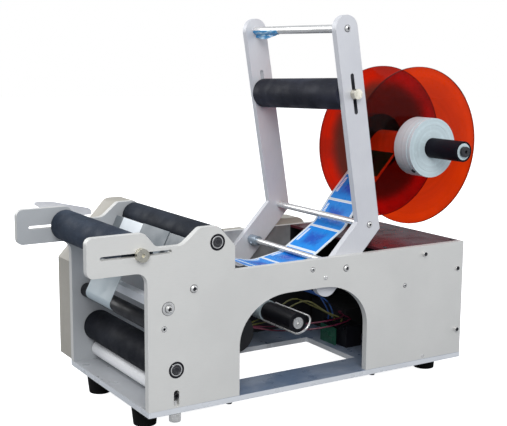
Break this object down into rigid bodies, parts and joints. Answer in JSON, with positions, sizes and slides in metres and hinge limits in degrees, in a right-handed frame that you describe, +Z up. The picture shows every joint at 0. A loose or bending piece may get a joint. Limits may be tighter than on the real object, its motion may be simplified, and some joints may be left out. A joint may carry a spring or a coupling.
{
  "type": "round bottle labelling machine",
  "caption": "Benchtop labeller for round bottles: slotted side plates carry powered and free rollers, an upright frame, a flanged label reel and a backing-paper rewinder.",
  "frame": {"origin": "middle of the whole machine in plan, at the height of the feet's soles", "axes": "+X from the bottle rollers to the label reel, +Y from the plate with the arch to the plate with the drive, +Z up"},
  "size_m": [0.723, 0.3452, 0.556],
  "materials": {
    "plate_aluminium": "satin anodised, natural silver",
    "arm_aluminium": "satin anodised, slightly cooler silver",
    "turned_aluminium": "turned, fine concentric tool marks",
    "bright_steel": "ground and lightly polished",
    "dark_steel": "black oxide",
    "nickel": "nickel plated, warm tone",
    "white_sheet": "smooth white",
    "beige_paint": "satin powder coat",
    "black_paint": "satin",
    "roller_rubber": "matt, slightly worn",
    "foot_rubber": "matt",
    "belt_rubber": "matt",
    "black_plastic": "fine grain",
    "red_acrylic": "clear-cut translucent sheet",
    "dark_acrylic": "glossy sheet",
    "label_film": "glossy blue labels on pale backing paper",
    "liner_black": "matt",
    "lead_yellow": "smooth lead insulation, one yellow and one green",
    "lead_blue": "smooth lead insulation, one blue and one white",
    "lead_red": "smooth lead insulation, one red and one purple",
    "board_green": "solder mask"
  },
  "bodies": {
    "frame": {"base_plate": "plate_aluminium", "near_plate": "plate_aluminium", "far_plate": "plate_aluminium", "end_panel": "plate_aluminium", "top_cover": "dark_acrylic", "deck_beam": "plate_aluminium", "cross_bar": "white_sheet", "near_arm": "arm_aluminium", "far_arm": "arm_aluminium", "top_rod": "bright_steel", "knee_rod": "bright_steel", "lower_rod": "bright_steel", "peel_plate": "white_sheet", "stop_arm": "arm_aluminium", "bearings": "bright_steel", "feet": "foot_rubber", "drive_casing": "beige_paint", "motor": "black_paint", "belts": "belt_rubber", "rewinder_block": "turned_aluminium", "reel_post": "black_paint", "reel_axle": "dark_steel", "control_box": "beige_paint", "power_supply": "bright_steel", "control_board": "board_green", "terminal_block": "black_plastic", "yellow_leads": "lead_yellow", "blue_leads": "lead_blue", "red_leads": "lead_red", "inner_liner": "liner_black", "label_web": "label_film"},
    "lower_roller": {"lower_core": "turned_aluminium", "lower_sleeve": "roller_rubber", "lower_pulley": "turned_aluminium"},
    "upper_roller": {"upper_core": "turned_aluminium", "upper_sleeve": "roller_rubber", "upper_pulley": "turned_aluminium"},
    "motor_shaft": {"motor_pulley": "turned_aluminium"},
    "rewinder": {"rewinder_shaft": "bright_steel", "rewinder_core": "black_plastic"},
    "clip": {"wire_clip": "bright_steel"},
    "pinch_carrier": {"pinch_axle": "dark_steel"},
    "pinch": {"pinch_roller": "turned_aluminium"},
    "near_screw": {"near_adjuster": "bright_steel"},
    "far_screw": {"far_adjuster": "bright_steel"},
    "bottle_carrier": {"bottle_axle": "nickel"},
    "bottle_roller": {"bottle_sleeve": "roller_rubber"},
    "frame_carrier": {"frame_axle": "nickel"},
    "frame_roller": {"frame_sleeve": "roller_rubber"},
    "guide": {"guide_roller": "black_plastic"},
    "reel": {"reel_tube": "black_plastic", "reel_bearings": "turned_aluminium", "far_disc": "red_acrylic", "far_hub": "turned_aluminium", "label_roll": "label_film"},
    "near_flange": {"near_disc": "red_acrylic", "near_hub": "turned_aluminium"},
    "collar": {"guide_collar": "turned_aluminium"},
    "rocker": {"rocker_switch": "black_plastic"},
    "knob": {"speed_knob": "black_plastic"}
  },
  "joints": [
    {"name": "lower_roller_spin", "type": "hinge", "parent": "frame", "child": "lower_roller", "pos_m": [-0.236, -0.00835, 0.0885], "axis": [0, 1, 0], "continuous": true},
    {"name": "upper_roller_spin", "type": "hinge", "parent": "frame", "child": "upper_roller", "pos_m": [-0.173, -0.00835, 0.255], "axis": [0, 1, 0], "continuous": true},
    {"name": "motor_spin", "type": "hinge", "parent": "frame", "child": "motor_shaft", "pos_m": [-0.0455, -0.00835, 0.071], "axis": [0, 1, 0], "continuous": true},
    {"name": "rewinder_spin", "type": "hinge", "parent": "frame", "child": "rewinder", "pos_m": [0.017, -0.00835, 0.098], "axis": [0, 1, 0], "continuous": true},
    {"name": "clip_slide", "type": "slide", "parent": "rewinder", "child": "clip", "axis": [0, -1, 0], "range_m": [0, 0.085]},
    {"name": "pinch_slide", "type": "slide", "parent": "frame", "child": "pinch_carrier", "axis": [0, 0, 1], "range_m": [-0.003, 0], "stiffness_N_per_m": 2500, "springref_m": 0.004},
    {"name": "pinch_spin", "type": "hinge", "parent": "pinch_carrier", "child": "pinch", "pos_m": [-0.236, -0.00835, 0.0522], "axis": [0, 1, 0], "continuous": true},
    {"name": "near_screw_turn", "type": "hinge", "parent": "frame", "child": "near_screw", "pos_m": [-0.236, -0.13635, 0.028], "axis": [0, 0, 1], "continuous": true},
    {"name": "far_screw_turn", "type": "hinge", "parent": "frame", "child": "far_screw", "pos_m": [-0.236, 0.11965, 0.028], "axis": [0, 0, 1], "continuous": true},
    {"name": "bottle_slide", "type": "slide", "parent": "frame", "child": "bottle_carrier", "axis": [1, 0, 0], "range_m": [-0.054, 0.042]},
    {"name": "bottle_roller_spin", "type": "hinge", "parent": "bottle_carrier", "child": "bottle_roller", "pos_m": [-0.2865, -0.00835, 0.2495], "axis": [0, 1, 0], "continuous": true},
    {"name": "frame_slide", "type": "slide", "parent": "frame", "child": "frame_carrier", "axis": [-0.1667, 0, 0.986], "range_m": [-0.018, 0.0255]},
    {"name": "frame_roller_spin", "type": "hinge", "parent": "frame_carrier", "child": "frame_roller", "pos_m": [0.05864, -0.00835, 0.44149], "axis": [0.0052, 0.9995, -0.031], "continuous": true},
    {"name": "guide_roller_spin", "type": "hinge", "parent": "frame", "child": "guide", "pos_m": [-0.2535, -0.00835, 0.1465], "axis": [0, 1, 0], "continuous": true},
    {"name": "reel_spin", "type": "hinge", "parent": "frame", "child": "reel", "pos_m": [0.2375, -0.00835, 0.357], "axis": [0, 1, 0], "continuous": true},
    {"name": "near_flange_slide", "type": "slide", "parent": "reel", "child": "near_flange", "axis": [0, -1, 0], "range_m": [0, 0.066]},
    {"name": "collar_slide", "type": "slide", "parent": "frame", "child": "collar", "axis": [0, -1, 0], "range_m": [0, 0.06]},
    {"name": "rocker_tilt", "type": "hinge", "parent": "frame", "child": "rocker", "pos_m": [0.1235, 0.15565, 0.128], "axis": [1, 0, 0], "range_deg": [-14, 0]},
    {"name": "knob_turn", "type": "hinge", "parent": "frame", "child": "knob", "pos_m": [0.1235, 0.15865, 0.178], "axis": [0, 1, 0], "range_deg": [0, 270]}
  ],
  "couplings": [
    {"joint": "upper_roller_spin", "follows": "lower_roller_spin", "ratio": 1.2},
    {"joint": "motor_spin", "follows": "lower_roller_spin", "ratio": 1.5},
    {"joint": "rewinder_spin", "follows": "lower_roller_spin", "ratio": 1.6},
    {"joint": "pinch_spin", "follows": "lower_roller_spin", "ratio": -2}
  ]
}
